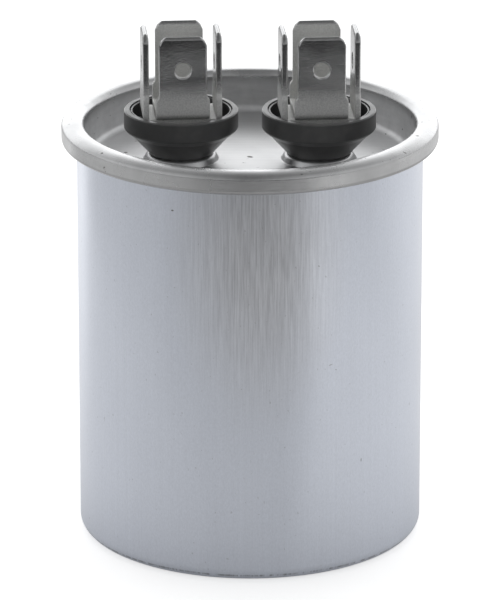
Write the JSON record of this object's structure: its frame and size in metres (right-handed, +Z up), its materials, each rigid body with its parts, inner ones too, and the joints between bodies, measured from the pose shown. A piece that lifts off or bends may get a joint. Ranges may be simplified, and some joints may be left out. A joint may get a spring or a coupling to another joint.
{
  "type": "motor run capacitor",
  "caption": "Round oil-filled motor run capacitor: an aluminium can, a recessed lid with a rolled rim, and two insulated terminals with upright quick-connect blades.",
  "frame": {"origin": "centre of the can's flat base, on the surface that it stands on", "axes": "+Z up the can's axis to the terminals; the two terminals lie in a line along X; -Y is the front"},
  "size_m": [0.0498, 0.0498, 0.069],
  "materials": {
    "can_aluminium": "drawn aluminium with fine lengthwise draw lines, satin",
    "lid_steel": "tin-plated sheet steel, rolled, satin with bright bends",
    "sealing_compound": "lining compound, dull",
    "black_phenolic": "moulded black insulator, satin",
    "blade_metal": "tin-plated strip, stamped, fine grain",
    "rivet_steel": "plated steel, headed",
    "seal_rubber": "dark rubber",
    "nylon": "natural nylon",
    "washer_steel": "plated steel",
    "polypropylene": "natural polypropylene, translucent white",
    "tinned_copper": "tinned copper strap",
    "sprayed_zinc": "sprayed zinc, rough grey",
    "metallised_film": "metallised polypropylene film, wound",
    "fibre_board": "pressed fibre, pale"
  },
  "bodies": {
    "root": {"can": "can_aluminium", "lid": "lid_steel", "seam_compound": "sealing_compound", "left_cup": "black_phenolic", "right_cup": "black_phenolic", "left_wide_blades": "blade_metal", "right_wide_blades": "blade_metal", "left_narrow_blades": "blade_metal", "right_narrow_blades": "blade_metal", "left_rivet": "rivet_steel", "right_rivet": "rivet_steel", "left_seal": "seal_rubber", "right_seal": "seal_rubber", "left_bushing": "nylon", "right_bushing": "nylon", "left_washer": "washer_steel", "right_washer": "washer_steel", "interrupter": "polypropylene", "top_lead": "tinned_copper", "bottom_lead": "tinned_copper", "top_spacer": "polypropylene", "upper_spray": "sprayed_zinc", "winding": "metallised_film", "winding_core": "polypropylene", "lower_spray": "sprayed_zinc", "insulating_sleeve": "fibre_board", "bottom_spacer": "fibre_board", "bottom_tray": "polypropylene"}
  },
  "joints": []
}
